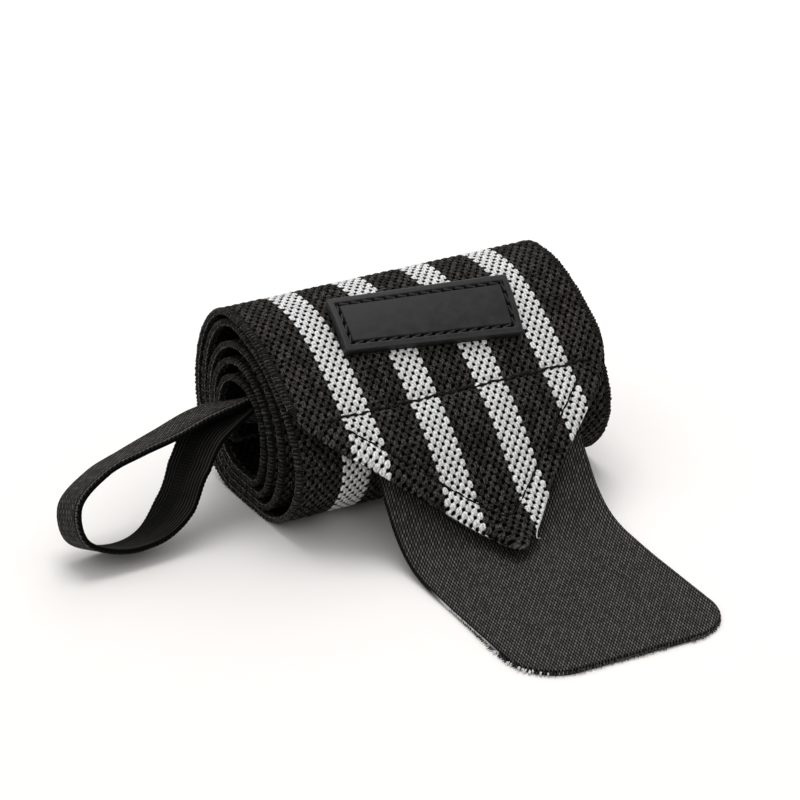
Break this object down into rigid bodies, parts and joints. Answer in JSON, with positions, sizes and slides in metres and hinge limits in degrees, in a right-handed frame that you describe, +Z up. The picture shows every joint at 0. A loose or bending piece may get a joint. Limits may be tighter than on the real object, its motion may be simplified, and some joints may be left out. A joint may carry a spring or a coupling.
{
  "type": "wrist wrap",
  "caption": "Rolled-up striped elastic wrist wrap lying on its side, with a folded pointed end, a hook closing tab, a webbing thumb loop and a bare rubber patch.",
  "frame": {"origin": "on the surface it lies on, under the middle of the whole part's box", "axes": "+X along the roll, away from the thumb loop; -Y towards the closing tab's end; +Z up"},
  "size_m": [0.1208, 0.1202, 0.0443],
  "materials": {
    "elastic": "matt black elastic knit with light grey stripes",
    "hook_tape": "matt black twill",
    "webbing": "matt black woven webbing",
    "patch_rubber": "satin black moulded rubber"
  },
  "bodies": {
    "root": {"elastic_band": "elastic", "hook_tab": "hook_tape", "thumb_loop": "webbing", "label_patch": "patch_rubber"}
  },
  "joints": []
}
